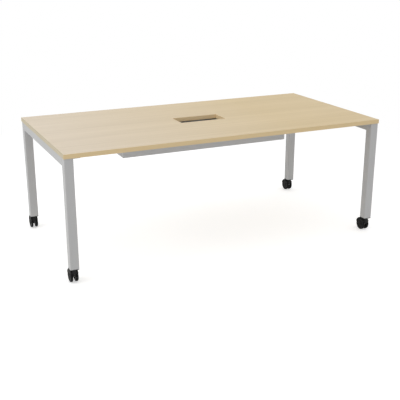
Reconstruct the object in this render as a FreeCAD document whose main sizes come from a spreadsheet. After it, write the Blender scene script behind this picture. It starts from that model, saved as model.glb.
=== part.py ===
"""Rolling meeting table: a wooden top with a cable cut-out, a steel frame on twin-wheel casters.

Millimetres. +X runs along the table, +Y to the back, +Z up; the origin is on the floor, under the
middle of the top.
"""
import FreeCAD
import Part
import Sketcher
import math
import os

SIZES = (
    # wooden top and its edging
    ("top_length", 2000, "top, left to right, with its edging"),
    ("top_width", 1000, "top, front to back, with its edging"),
    ("top_thick", 25, "thickness of the board and its edging"),
    ("table_height", 735, "floor to the top's upper face"),
    ("band_thick", 2, "thickness of every edging strip"),
    ("band_round", 1, "rounding along the outer edges of the edging"),
    ("cutout_length", 300, "clear cable cut-out, along the table"),
    ("cutout_width", 140, "clear cable cut-out, across the table"),
    # welded steel frame
    ("leg_side", 50, "square leg tube, outside"),
    ("leg_inset", 3, "leg's outer faces in from the top's edges"),
    ("tube_wall", 2, "wall of every steel tube"),
    ("tube_corner", 3, "outside corner radius of every tube and plate"),
    ("tube_inner_corner", 1, "inside corner radius of every tube"),
    ("rail_height", 48, "end rail, upright; it is as deep as the legs"),
    ("beam_height", 40, "long beam, upright"),
    ("beam_width", 25, "long beam, across the table"),
    ("beam_spacing", 500, "front beam's middle to rear beam's middle"),
    ("plate_width", 90, "beam's end plate, across the table"),
    ("plate_thick", 4, "beam's end plate"),
    ("bolt_spacing", 62, "between the two bolts of an end plate"),
    ("bolt_diameter", 8, "frame bolt's shank"),
    ("bolt_length", 18, "frame bolt's shank, under its head"),
    ("bolt_head", 14, "frame bolt's head, across"),
    ("bolt_head_height", 5, "frame bolt's head, along its axis"),
    ("bolt_socket", 5, "hexagon socket in the bolt's head, across flats"),
    ("bolt_socket_depth", 3, "depth of that socket"),
    ("nut_diameter", 11, "rivet nut's sleeve"),
    ("nut_length", 16, "rivet nut, along its axis"),
    ("nut_bulge", 14, "rivet nut's set bulge behind the rail's wall"),
    ("nut_bulge_length", 4, "that bulge, along its axis"),
    # fixing of the top to the frame
    ("tab_length", 40, "fixing tab, out from what it is welded to"),
    ("tab_width", 34, "fixing tab, along what it is welded to"),
    ("tab_thick", 5, "fixing tab"),
    ("tab_pitch", 700, "between the fixing tabs of a beam"),
    ("screw_diameter", 5, "wood screw's shank"),
    ("screw_head", 10, "wood screw's head, across"),
    ("screw_head_height", 3, "wood screw's head, along its axis"),
    ("screw_bite", 16, "wood screw's length in the board"),
    # cable tray
    ("tray_length", 1096, "tray, along the table"),
    ("tray_width", 256, "tray, outside its two walls"),
    ("tray_depth", 138, "tray, from the board down"),
    ("tray_flange", 24, "tray's flange, out from its wall"),
    ("tray_bend", 2, "inside radius of the tray's bends"),
    ("tray_pitch", 330, "between the screws of a tray flange"),
    ("sheet_thick", 1.5, "sheet steel of the tray"),
    # casters
    ("insert_flange", 4, "leg insert's plate under the leg"),
    ("insert_height", 30, "leg insert's plug inside the leg"),
    ("insert_fit", 0.1, "gap between that plug and each inside face of the leg"),
    ("stem_diameter", 10, "caster's steel stem"),
    ("stem_socket", 24, "stem's length in the leg insert"),
    ("stem_collar", 20, "stem's collar, across"),
    ("stem_collar_height", 2, "stem's collar, upright"),
    ("stem_grip", 38, "stem's bore in the hood, upright"),
    ("stem_groove", 1, "depth of the ring's groove in the stem"),
    ("stem_tail", 2, "stem's end below its ring"),
    ("ring_diameter", 13, "stem's retaining ring, across"),
    ("ring_thick", 1.2, "stem's retaining ring"),
    ("wheel_diameter", 75, "caster wheel's tread"),
    ("wheel_width", 14, "caster wheel"),
    ("wheel_gap", 16, "between the two wheels of a caster"),
    ("wheel_round", 4, "rounding of the tread's two edges"),
    ("wheel_rim", 8, "wheel's flat rim, outside its dish"),
    ("wheel_dish", 2.5, "depth of the dish in the wheel's outer face"),
    ("wheel_hub", 24, "wheel's hub inside that dish, across"),
    ("wheel_cap", 3, "wheel's closed outer end over its bore"),
    ("axle_diameter", 8, "caster's axle"),
    ("caster_trail", 24, "swivel axis to axle"),
    ("hood_gap", 1.5, "tread to the hood's mudguard"),
    ("hood_wall", 3, "hood's mudguard"),
    ("hood_round", 2, "rounding of the mudguard's edges"),
    ("hood_web", 15, "hood's web between the wheels"),
    ("hood_boss", 28, "hood's boss round the axle, across"),
    ("hood_collar", 24, "hood's neck round the stem, across"),
    ("hood_front_angle", 150, "mudguard's front end, from level, in degrees"),
    ("hood_back_angle", 10, "mudguard's rear end, from level, in degrees"),
    ("swivel_gap", 4.5, "top of the mudguard to the leg insert"),
    # clearances
    ("fit_gap", 0.05, "shaft or thread in its hole, all round"),
    ("hole_gap", 0.5, "bolt or screw in its clearance hole, all round"),
    ("play", 0.2, "swivelling faces, apart"),
    ("end_gap", 0.5, "blind hole beyond the end of what it takes"),
)

CORNERS = (("front_left", -1, -1), ("front_right", 1, -1), ("rear_left", -1, 1), ("rear_right", 1, 1))
ENDS = (("left", -1), ("right", 1))
SIDES = (("front", -1), ("rear", 1))

# Levels and places that several sub-parts share, as formulas of the sheet
UNDERSIDE = "(Sizes.table_height - Sizes.top_thick)"
LEG_X = "(Sizes.top_length / 2 - Sizes.leg_inset - Sizes.leg_side / 2)"
LEG_Y = "(Sizes.top_width / 2 - Sizes.leg_inset - Sizes.leg_side / 2)"
LEG_INNER_X = f"({LEG_X} - Sizes.leg_side / 2)"
PLATE_INNER_X = f"({LEG_INNER_X} - Sizes.plate_thick)"
BEAM_LEVEL = f"({UNDERSIDE} - Sizes.beam_height / 2)"
BEAM_OUTER_Y = "(Sizes.beam_spacing / 2 + Sizes.beam_width / 2)"
AXLE_LEVEL = "(Sizes.wheel_diameter / 2)"
GUARD_RADIUS = "(Sizes.wheel_diameter / 2 + Sizes.hood_gap + Sizes.hood_wall)"
INSERT_LEVEL = f"({AXLE_LEVEL} + {GUARD_RADIUS} + Sizes.swivel_gap)"
LEG_LEVEL = f"({INSERT_LEVEL} + Sizes.insert_flange)"
HOOD_TOP = f"({INSERT_LEVEL} - Sizes.stem_collar_height - Sizes.play)"
BOSS_LEVEL = f"({HOOD_TOP} - Sizes.stem_grip)"
RING_LEVEL = f"({BOSS_LEVEL} - Sizes.play - Sizes.ring_thick)"
HOOD_WIDTH = "(Sizes.wheel_gap + 2 * Sizes.wheel_width)"
GROOVE_RADIUS = "(Sizes.stem_diameter / 2 - Sizes.stem_groove)"

doc = FreeCAD.newDocument("rolling_table")
sheet = doc.addObject("Spreadsheet::Sheet", "Sizes")
nodes = []


def fill_sheet():
    """Write each driving size to its own row: name, number, meaning."""
    for row, (alias, number, meaning) in enumerate(SIZES, 1):
        sheet.set(f"A{row}", alias)
        sheet.set(f"B{row}", str(number))
        sheet.setAlias(f"B{row}", alias)
        sheet.set(f"C{row}", meaning)
    doc.recompute()


def value(formula):
    """Number that a formula of the sheet gives."""
    return float(sheet.evalExpression(formula))


def place(item, east="0", north="0", up="0", turn=0):
    """Bind a sub-part's place to the sheet; turn is about Z, in degrees."""
    upright = FreeCAD.Vector(0, 0, 1)
    item.Placement = FreeCAD.Placement(FreeCAD.Vector(), FreeCAD.Rotation(upright, turn))
    for axis, formula in zip("xyz", (east, north, up)):
        item.setExpression(f"Placement.Base.{axis}", formula)


def new_body(label, keep=True):
    """Start a sub-part; one that is only a pattern for copies isn't kept as a node."""
    body = doc.addObject("PartDesign::Body", label)
    if keep:
        nodes.append(body)
    return body


def sketch_on(body, name, role, lift="0"):
    """Sketch on one of the body's origin planes, lifted along its normal."""
    sketch = body.newObject("Sketcher::SketchObject", name)
    plane = next(item for item in body.Origin.OriginFeatures if item.Role == role)
    sketch.AttachmentSupport = [(plane, "")]
    sketch.MapMode = "FlatFace"
    sketch.setExpression("AttachmentOffset.Base.z", lift)
    return sketch


def hold(sketch, kind, formula, *geometry):
    """Add a dimension to a sketch and bind it to the sheet."""
    index = sketch.addConstraint(Sketcher.Constraint(kind, *geometry, value(formula)))
    sketch.setExpression(f"Constraints[{index}]", formula)


def pin(sketch, item, point, across, along):
    """Fix a sketch point by its two distances from the origin."""
    hold(sketch, "DistanceX", across, -1, 1, item, point)
    hold(sketch, "DistanceY", along, -1, 1, item, point)


def polygon(sketch, corners):
    """Closed outline of straight lines through corners given as formulas."""
    points = [FreeCAD.Vector(value(across), value(along), 0) for across, along in corners]
    lines = []
    for start, end in zip(points, points[1:] + points[:1]):
        lines.append(sketch.addGeometry(Part.LineSegment(start, end)))
    for line, after in zip(lines, lines[1:] + lines[:1]):
        sketch.addConstraint(Sketcher.Constraint("Coincident", line, 2, after, 1))
    for line, (across, along) in zip(lines, corners):
        pin(sketch, line, 1, across, along)


def rectangle(sketch, width, depth):
    """Rectangle about the sketch's origin."""
    west, east = f"-({width}) / 2", f"({width}) / 2"
    south, north = f"-({depth}) / 2", f"({depth}) / 2"
    polygon(sketch, [(west, south), (east, south), (east, north), (west, north)])


def rounded_rectangle(sketch, width, depth, radius):
    """Rectangle about the sketch's origin with four equal rounded corners."""
    reach_x = value(width) / 2 - value(radius)
    reach_y = value(depth) / 2 - value(radius)
    bend = value(radius)
    normal = FreeCAD.Vector(0, 0, 1)
    lines = []
    arcs = []
    for quarter, (way_x, way_y) in enumerate(((1, -1), (1, 1), (-1, 1), (-1, -1))):
        centre = FreeCAD.Vector(way_x * reach_x, way_y * reach_y, 0)
        start = math.radians(90 * (quarter - 1))
        arc = Part.ArcOfCircle(Part.Circle(centre, normal, bend), start, start + math.radians(90))
        arcs.append(sketch.addGeometry(arc))
    ends = [(sketch.Geometry[arc].StartPoint, sketch.Geometry[arc].EndPoint) for arc in arcs]
    for (_, leave), (arrive, _) in zip(ends, ends[1:] + ends[:1]):
        lines.append(sketch.addGeometry(Part.LineSegment(leave, arrive)))
    for arc, line, after in zip(arcs, lines, arcs[1:] + arcs[:1]):
        sketch.addConstraint(Sketcher.Constraint("Tangent", arc, 2, line, 1))
        sketch.addConstraint(Sketcher.Constraint("Tangent", line, 2, after, 1))
    for line, kind in zip(lines, ("Vertical", "Horizontal", "Vertical", "Horizontal")):
        sketch.addConstraint(Sketcher.Constraint(kind, line))
    for arc in arcs[1:]:
        sketch.addConstraint(Sketcher.Constraint("Equal", arcs[0], arc))
    hold(sketch, "Radius", radius, arcs[0])
    pin(sketch, arcs[1], 3, f"({width}) / 2 - ({radius})", f"({depth}) / 2 - ({radius})")
    pin(sketch, arcs[3], 3, f"({radius}) - ({width}) / 2", f"({radius}) - ({depth}) / 2")


def circle(sketch, diameter, across="0", along="0"):
    """Circle by its diameter and the place of its centre."""
    centre = FreeCAD.Vector(value(across), value(along), 0)
    item = sketch.addGeometry(Part.Circle(centre, FreeCAD.Vector(0, 0, 1), value(diameter) / 2))
    hold(sketch, "Diameter", diameter, item)
    pin(sketch, item, 3, across, along)


def pad(body, sketch, length, symmetric=False):
    """Raise a sketch along its normal, or half to each side."""
    feature = body.newObject("PartDesign::Pad", f"{sketch.Name}Pad")
    feature.Profile = sketch
    feature.SideType = "Symmetric" if symmetric else "One side"
    feature.setExpression("Length", length)
    doc.recompute()
    return feature


def pocket(body, sketch, depth=None, forward=False, symmetric=False):
    """Cut a sketch against its normal, or forward along it, to a depth or right through."""
    before = body.Shape.Volume
    feature = body.newObject("PartDesign::Pocket", f"{sketch.Name}Pocket")
    feature.Profile = sketch
    feature.Reversed = forward
    feature.SideType = "Symmetric" if symmetric else "One side"
    if depth is None:
        feature.Type = "ThroughAll"
    else:
        feature.setExpression("Length", depth)
    doc.recompute()
    if body.Shape.Volume >= before:
        raise RuntimeError(f"{feature.Label} cuts nothing")
    return feature


def revolve(body, sketch, axis):
    """Turn a sketch once round its own horizontal or vertical axis."""
    feature = body.newObject("PartDesign::Revolution", f"{sketch.Name}Turn")
    feature.Profile = sketch
    feature.ReferenceAxis = (sketch, [axis])
    feature.Angle = 360
    doc.recompute()
    return feature


def fillet(body, name, radius, wanted):
    """Round the edges of the body's last feature whose middle satisfies a test."""
    base = body.Tip
    names = []
    for number, edge in enumerate(base.Shape.Edges, 1):
        middle = edge.valueAt((edge.FirstParameter + edge.LastParameter) / 2)
        if wanted(edge, middle):
            names.append(f"Edge{number}")
    if not names:
        raise RuntimeError(f"{name} finds no edge")
    feature = body.newObject("PartDesign::Fillet", name)
    feature.Base = (base, names)
    feature.setExpression("Radius", radius)
    doc.recompute()
    return feature


def near(first, second):
    """Whether two lengths are the same for the purpose of finding an edge."""
    return abs(first - second) < 1e-4


def group(label, pattern, places):
    """One node of like pieces: a copy of the pattern at each place (x, y, z, turn)."""
    copies = []
    for number, (east, north, up, turn) in enumerate(places, 1):
        copy = doc.addObject("App::Link", f"{label}_{number}")
        copy.LinkedObject = pattern
        copy.LinkTransform = False
        place(copy, east, north, up, turn)
        copies.append(copy)
    together = doc.addObject("Part::Compound", label)
    together.Links = copies
    nodes.append(together)


def leg_tab_screws():
    """Screw places under the legs' fixing tabs."""
    reach = f"({LEG_INNER_X} - Sizes.tab_length / 2)"
    return [(f"{way_x} * {reach}", f"{way_y} * {LEG_Y}") for _, way_x, way_y in CORNERS]


def beam_tab_screws():
    """Screw places under the beams' fixing tabs."""
    reach = f"({BEAM_OUTER_Y} + Sizes.tab_length / 2)"
    return [(f"{step} * Sizes.tab_pitch", f"{way} * {reach}") for _, way in SIDES for step in (-1, 0, 1)]


def tray_screws():
    """Screw places in the tray's two flanges, clear of its ends."""
    reach = "(Sizes.tray_width / 2 + Sizes.tray_flange / 2)"
    steps = (-1.5, -0.5, 0.5, 1.5)
    return [(f"{step} * Sizes.tray_pitch", f"{way} * {reach}") for _, way in SIDES for step in steps]


def make_top():
    """Board with its cut-out and screw holes, drawn from its underside up."""
    board = new_body("top_panel")
    outline = sketch_on(board, "BoardOutline", "XY_Plane")
    rectangle(outline, "Sizes.top_length - 2 * Sizes.band_thick", "Sizes.top_width - 2 * Sizes.band_thick")
    rectangle(outline, "Sizes.cutout_length + 2 * Sizes.band_thick",
              "Sizes.cutout_width + 2 * Sizes.band_thick")
    pad(board, outline, "Sizes.top_thick")
    holes = sketch_on(board, "BoardHoles", "XY_Plane")
    for across, along in leg_tab_screws() + beam_tab_screws() + tray_screws():
        circle(holes, "Sizes.screw_diameter + 2 * Sizes.fit_gap", across, along)
    pocket(board, holes, "Sizes.screw_bite + Sizes.end_gap", forward=True)
    place(board, up=UNDERSIDE)


def make_edging():
    """Strips round the top's four edges and the ring inside its cut-out."""
    for name, way in SIDES:
        strip = new_body(f"edge_band_{name}")
        outline = sketch_on(strip, f"Band{name.title()}", "XY_Plane")
        rectangle(outline, "Sizes.top_length", "Sizes.band_thick")
        pad(strip, outline, "Sizes.top_thick")
        face = way * value("Sizes.band_thick / 2")
        fillet(strip, f"Band{name.title()}Round", "Sizes.band_round",
               lambda edge, middle: near(middle.y, face) and near(middle.x, 0))
        place(strip, north=f"{way} * (Sizes.top_width - Sizes.band_thick) / 2", up=UNDERSIDE)
    for name, way in ENDS:
        strip = new_body(f"edge_band_{name}")
        outline = sketch_on(strip, f"Band{name.title()}", "XY_Plane")
        rectangle(outline, "Sizes.band_thick", "Sizes.top_width - 2 * Sizes.band_thick")
        pad(strip, outline, "Sizes.top_thick")
        face = way * value("Sizes.band_thick / 2")
        fillet(strip, f"Band{name.title()}Round", "Sizes.band_round",
               lambda edge, middle: near(middle.x, face) and near(middle.y, 0))
        place(strip, east=f"{way} * (Sizes.top_length - Sizes.band_thick) / 2", up=UNDERSIDE)
    ring = new_body("cutout_band")
    outline = sketch_on(ring, "CutoutRing", "XY_Plane")
    rectangle(outline, "Sizes.cutout_length + 2 * Sizes.band_thick",
              "Sizes.cutout_width + 2 * Sizes.band_thick")
    rectangle(outline, "Sizes.cutout_length", "Sizes.cutout_width")
    pad(ring, outline, "Sizes.top_thick")
    place(ring, up=UNDERSIDE)


def tube_section(sketch, width, depth):
    """Outside and inside of a rectangular steel tube."""
    rounded_rectangle(sketch, width, depth, "Sizes.tube_corner")
    rounded_rectangle(sketch, f"{width} - 2 * Sizes.tube_wall", f"{depth} - 2 * Sizes.tube_wall",
                      "Sizes.tube_inner_corner")


def make_legs():
    """Four square tubes from the casters' inserts up to the board."""
    for name, way_x, way_y in CORNERS:
        leg = new_body(f"leg_{name}")
        section = sketch_on(leg, "LegSection", "XY_Plane")
        tube_section(section, "Sizes.leg_side", "Sizes.leg_side")
        pad(leg, section, f"{UNDERSIDE} - {LEG_LEVEL}")
        place(leg, f"{way_x} * {LEG_X}", f"{way_y} * {LEG_Y}", LEG_LEVEL)


def bolt_rows():
    """Bolt places across the table, as formulas of Y."""
    return [f"({way} * Sizes.beam_spacing / 2 + {step} * Sizes.bolt_spacing / 2)"
            for _, way in SIDES for step in (-1, 1)]


def make_end_rails():
    """Tube between the two legs of each end, flush with them, its inner wall drilled for rivet nuts."""
    for name, way in ENDS:
        rail = new_body(f"end_rail_{name}")
        section = sketch_on(rail, "RailSection", "XZ_Plane")
        tube_section(section, "Sizes.leg_side", "Sizes.rail_height")
        pad(rail, section, f"2 * {LEG_Y} - Sizes.leg_side", symmetric=True)
        holes = sketch_on(rail, "RailHoles", "YZ_Plane", f"{-way} * Sizes.leg_side / 2")
        for across in bolt_rows():
            circle(holes, "Sizes.nut_diameter + 2 * Sizes.fit_gap", across,
                   "(Sizes.rail_height - Sizes.beam_height) / 2")
        pocket(rail, holes, "Sizes.tube_wall", forward=way > 0)
        place(rail, f"{way} * {LEG_X}", "0", f"{UNDERSIDE} - Sizes.rail_height / 2")


def make_beams():
    """Two long tubes under the board and the plates welded to their ends."""
    for name, way_y in SIDES:
        beam = new_body(f"beam_{name}")
        section = sketch_on(beam, "BeamSection", "YZ_Plane")
        tube_section(section, "Sizes.beam_width", "Sizes.beam_height")
        pad(beam, section, f"2 * {PLATE_INNER_X}", symmetric=True)
        place(beam, "0", f"{way_y} * Sizes.beam_spacing / 2", BEAM_LEVEL)
        for end, way_x in ENDS:
            plate = new_body(f"beam_plate_{name}_{end}")
            outline = sketch_on(plate, "PlateOutline", "YZ_Plane")
            rounded_rectangle(outline, "Sizes.plate_width", "Sizes.beam_height", "Sizes.tube_corner")
            for step in (-1, 1):
                circle(outline, "Sizes.bolt_diameter + 2 * Sizes.hole_gap",
                       f"{step} * Sizes.bolt_spacing / 2")
            pad(plate, outline, "Sizes.plate_thick", symmetric=True)
            place(plate, f"{way_x} * ({PLATE_INNER_X} + Sizes.plate_thick / 2)",
                  f"{way_y} * Sizes.beam_spacing / 2", BEAM_LEVEL)


def make_frame_bolts():
    """Socket-head bolts through the end plates, and the rivet nuts that take them."""
    bolt = new_body("FrameBolt", keep=False)
    profile = sketch_on(bolt, "BoltProfile", "XY_Plane")
    shank, head = "Sizes.bolt_diameter / 2", "Sizes.bolt_head / 2"
    polygon(profile, [("-Sizes.bolt_head_height", "0"), ("Sizes.bolt_length", "0"),
                      ("Sizes.bolt_length", shank), ("0", shank), ("0", head),
                      ("-Sizes.bolt_head_height", head)])
    revolve(bolt, profile, "H_Axis")
    socket = sketch_on(bolt, "BoltSocket", "YZ_Plane", "-Sizes.bolt_head_height")
    corner = "Sizes.bolt_socket / 2 / cos(30)"
    polygon(socket, [(f"{corner} * cos({angle})", f"{corner} * sin({angle})")
                     for angle in range(30, 390, 60)])
    pocket(bolt, socket, "Sizes.bolt_socket_depth", forward=True)

    nut = new_body("RivetNut", keep=False)
    profile = sketch_on(nut, "NutProfile", "XY_Plane")
    bore = "Sizes.bolt_diameter / 2 + Sizes.fit_gap"
    sleeve, bulge = "Sizes.nut_diameter / 2", "Sizes.nut_bulge / 2"
    bulge_end = "Sizes.tube_wall + Sizes.nut_bulge_length"
    polygon(profile, [("0", bore), ("Sizes.nut_length", bore), ("Sizes.nut_length", sleeve),
                      (bulge_end, sleeve), (bulge_end, bulge), ("Sizes.tube_wall", bulge),
                      ("Sizes.tube_wall", sleeve), ("0", sleeve)])
    revolve(nut, profile, "H_Axis")

    for label, pattern, reach in (("beam_bolts", bolt, PLATE_INNER_X), ("rivet_nuts", nut, LEG_INNER_X)):
        group(label, pattern, [(f"{way} * {reach}", across, BEAM_LEVEL, 90 - 90 * way)
                               for _, way in ENDS for across in bolt_rows()])


def make_tabs():
    """Flat tabs welded to the legs and beams, flush with the board's underside."""
    tab = new_body("FixingTab", keep=False)
    outline = sketch_on(tab, "TabOutline", "XY_Plane")
    length, half = "Sizes.tab_length", "Sizes.tab_width / 2"
    polygon(outline, [("0", f"-{half}"), (length, f"-{half}"), (length, half), ("0", half)])
    circle(outline, "Sizes.screw_diameter + 2 * Sizes.hole_gap", "Sizes.tab_length / 2")
    pad(tab, outline, "Sizes.tab_thick")
    level = f"{UNDERSIDE} - Sizes.tab_thick"
    group("leg_tabs", tab, [(f"{way_x} * {LEG_INNER_X}", f"{way_y} * {LEG_Y}", level, 90 + 90 * way_x)
                            for _, way_x, way_y in CORNERS])
    group("beam_tabs", tab, [(f"{step} * Sizes.tab_pitch", f"{way} * {BEAM_OUTER_Y}", level, 90 * way)
                             for _, way in SIDES for step in (-1, 0, 1)])


def wood_screw(name, grip):
    """Pan-head screw that holds a sheet of the given thickness to the board."""
    screw = new_body(name, keep=False)
    profile = sketch_on(screw, f"{name}Profile", "XZ_Plane")
    shank, head, foot = "Sizes.screw_diameter / 2", "Sizes.screw_head / 2", "-Sizes.screw_head_height"
    tip = f"{grip} + Sizes.screw_bite"
    polygon(profile, [("0", foot), (head, foot), (head, "0"), (shank, "0"), (shank, tip), ("0", tip)])
    revolve(screw, profile, "V_Axis")
    return screw


def make_wood_screws():
    """Screws through the tabs and through the tray's flanges."""
    for label, name, grip, places in (
            ("top_screws", "TopScrew", "Sizes.tab_thick", leg_tab_screws() + beam_tab_screws()),
            ("tray_screws", "TrayScrew", "Sizes.sheet_thick", tray_screws())):
        level = f"{UNDERSIDE} - {grip}"
        group(label, wood_screw(name, grip), [(across, along, level, 0) for across, along in places])


def make_tray():
    """Folded sheet trough with flanges, and the plates that close its ends."""
    tray = new_body("cable_tray")
    section = sketch_on(tray, "TraySection", "YZ_Plane")
    outside, inside = "Sizes.tray_width / 2", "(Sizes.tray_width / 2 - Sizes.sheet_thick)"
    lip = "(Sizes.tray_width / 2 + Sizes.tray_flange)"
    floor_top, floor_base = "Sizes.sheet_thick - Sizes.tray_depth", "-Sizes.tray_depth"
    right = [(inside, "0"), (lip, "0"), (lip, "-Sizes.sheet_thick"), (outside, "-Sizes.sheet_thick"),
             (outside, floor_base)]
    left = [(f"-{across}", along) for across, along in reversed(right)]
    polygon(section, right + left + [(f"-{inside}", floor_top), (inside, floor_top)])
    pad(tray, section, "Sizes.tray_length", symmetric=True)
    inner_bends = ((value(inside), value(floor_top)), (value(outside), value("-Sizes.sheet_thick")))
    outer_bends = ((value(outside), value(floor_base)), (value(inside), 0.0))
    for name, radius, bends in (("TrayInnerBends", "Sizes.tray_bend", inner_bends),
                                ("TrayOuterBends", "Sizes.tray_bend + Sizes.sheet_thick", outer_bends)):
        fillet(tray, name, radius, lambda edge, middle: near(middle.x, 0) and any(
            near(abs(middle.y), across) and near(middle.z, along) for across, along in bends))
    holes = sketch_on(tray, "TrayHoles", "XY_Plane")
    for across, along in tray_screws():
        circle(holes, "Sizes.screw_diameter + 2 * Sizes.hole_gap", across, along)
    pocket(tray, holes, "Sizes.sheet_thick")
    place(tray, up=UNDERSIDE)

    for name, way in ENDS:
        end = new_body(f"tray_end_{name}")
        outline = sketch_on(end, "EndOutline", "YZ_Plane")
        polygon(outline, [(f"-{inside}", floor_top), (inside, floor_top), (inside, "0"),
                          (f"-{inside}", "0")])
        pad(end, outline, "Sizes.sheet_thick", symmetric=True)
        foot = value(floor_top)
        fillet(end, "EndCorners", "Sizes.tray_bend + Sizes.play",
               lambda edge, middle: near(middle.x, 0) and near(middle.z, foot))
        place(end, f"{way} * (Sizes.tray_length - Sizes.sheet_thick) / 2", "0", UNDERSIDE)


def make_insert(name, east, north):
    """Black plug and plate at the foot of a leg, with the socket for the caster's stem."""
    insert = new_body(f"leg_insert_{name}")
    plate = sketch_on(insert, "InsertPlate", "XY_Plane")
    rounded_rectangle(plate, "Sizes.leg_side", "Sizes.leg_side", "Sizes.tube_corner")
    pad(insert, plate, "Sizes.insert_flange")
    plug = sketch_on(insert, "InsertPlug", "XY_Plane")
    side = "Sizes.leg_side - 2 * Sizes.tube_wall - 2 * Sizes.insert_fit"
    rounded_rectangle(plug, side, side, "Sizes.tube_inner_corner")
    pad(insert, plug, "Sizes.insert_flange + Sizes.insert_height")
    socket = sketch_on(insert, "InsertSocket", "XY_Plane")
    circle(socket, "Sizes.stem_diameter + 2 * Sizes.fit_gap")
    pocket(insert, socket, "Sizes.stem_socket + Sizes.end_gap", forward=True)
    place(insert, east, north, INSERT_LEVEL)


def make_stem(name, east, north):
    """Steel stem with its collar and ring groove, and the ring that keeps the hood on it."""
    stem = new_body(f"caster_stem_{name}")
    profile = sketch_on(stem, "StemProfile", "XZ_Plane")
    shank, collar = "Sizes.stem_diameter / 2", "Sizes.stem_collar / 2"
    collar_base = f"{INSERT_LEVEL} - Sizes.stem_collar_height"
    ring_top = f"{RING_LEVEL} + Sizes.ring_thick"
    tail = f"{RING_LEVEL} - Sizes.stem_tail"
    tip = f"{INSERT_LEVEL} + Sizes.stem_socket"
    polygon(profile, [("0", tail), (shank, tail), (shank, RING_LEVEL), (GROOVE_RADIUS, RING_LEVEL),
                      (GROOVE_RADIUS, ring_top), (shank, ring_top), (shank, collar_base),
                      (collar, collar_base), (collar, INSERT_LEVEL), (shank, INSERT_LEVEL), (shank, tip),
                      ("0", tip)])
    revolve(stem, profile, "V_Axis")
    place(stem, east, north)

    ring = new_body(f"stem_ring_{name}")
    outline = sketch_on(ring, "RingOutline", "XY_Plane")
    circle(outline, "Sizes.ring_diameter")
    circle(outline, f"2 * ({GROOVE_RADIUS} + Sizes.fit_gap)")
    pad(ring, outline, "Sizes.ring_thick")
    place(ring, east, north, RING_LEVEL)


def guard_sector(sketch):
    """Side view of the hood: a sector about the axle, from its rear end over to its front end."""
    hub = FreeCAD.Vector(value("Sizes.caster_trail"), value(AXLE_LEVEL), 0)
    radius = value(GUARD_RADIUS)
    rear = math.radians(value("Sizes.hood_back_angle"))
    front = math.radians(value("Sizes.hood_front_angle"))
    guard = Part.ArcOfCircle(Part.Circle(hub, FreeCAD.Vector(0, 0, 1), radius), rear, front)
    arc = sketch.addGeometry(guard)
    rear_edge = sketch.addGeometry(Part.LineSegment(hub, guard.StartPoint))
    front_edge = sketch.addGeometry(Part.LineSegment(hub, guard.EndPoint))
    sketch.addConstraint(Sketcher.Constraint("Coincident", rear_edge, 1, front_edge, 1))
    sketch.addConstraint(Sketcher.Constraint("Coincident", rear_edge, 1, arc, 3))
    sketch.addConstraint(Sketcher.Constraint("Coincident", rear_edge, 2, arc, 1))
    sketch.addConstraint(Sketcher.Constraint("Coincident", front_edge, 2, arc, 2))
    pin(sketch, rear_edge, 1, "Sizes.caster_trail", AXLE_LEVEL)
    hold(sketch, "Radius", GUARD_RADIUS, arc)
    for edge, angle in ((rear_edge, "Sizes.hood_back_angle"), (front_edge, "Sizes.hood_front_angle")):
        hold(sketch, "DistanceY", f"{AXLE_LEVEL} + {GUARD_RADIUS} * sin({angle})", -1, 1, edge, 2)


def make_hood(name, east, north):
    """Caster's hood: mudguard over both wheels, web between them, neck round the stem, and its axle."""
    hood = new_body(f"caster_hood_{name}")
    side = sketch_on(hood, "HoodSide", "YZ_Plane")
    guard_sector(side)
    pad(hood, side, HOOD_WIDTH, symmetric=True)
    radius = value(GUARD_RADIUS)
    fillet(hood, "HoodRound", "Sizes.hood_round",
           lambda edge, middle: hasattr(edge.Curve, "Radius") and near(edge.Curve.Radius, radius))
    neck = sketch_on(hood, "HoodNeck", "XY_Plane", BOSS_LEVEL)
    circle(neck, "Sizes.hood_collar")
    pad(hood, neck, "Sizes.stem_grip")
    for label, way in ENDS:
        well = sketch_on(hood, f"HoodWell{label.title()}", "YZ_Plane", f"{way} * Sizes.hood_web / 2")
        circle(well, "Sizes.wheel_diameter + 2 * Sizes.hood_gap", "Sizes.caster_trail", AXLE_LEVEL)
        pocket(hood, well, forward=way > 0)
    boss = sketch_on(hood, "HoodBoss", "YZ_Plane")
    circle(boss, "Sizes.hood_boss", "Sizes.caster_trail", AXLE_LEVEL)
    pad(hood, boss, "Sizes.hood_web", symmetric=True)
    bore = sketch_on(hood, "HoodAxleBore", "YZ_Plane")
    circle(bore, "Sizes.axle_diameter + 2 * Sizes.fit_gap", "Sizes.caster_trail", AXLE_LEVEL)
    pocket(hood, bore, HOOD_WIDTH, symmetric=True)
    bore = sketch_on(hood, "HoodStemBore", "XY_Plane", BOSS_LEVEL)
    circle(bore, "Sizes.stem_diameter + 2 * Sizes.fit_gap")
    pocket(hood, bore, "Sizes.stem_grip", forward=True)
    place(hood, east, north)

    axle = new_body(f"caster_axle_{name}")
    section = sketch_on(axle, "AxleSection", "YZ_Plane")
    circle(section, "Sizes.axle_diameter")
    pad(axle, section, f"{HOOD_WIDTH} - 2 * Sizes.wheel_cap - 2 * Sizes.end_gap", symmetric=True)
    place(axle, east, f"{north} + Sizes.caster_trail", AXLE_LEVEL)


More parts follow.
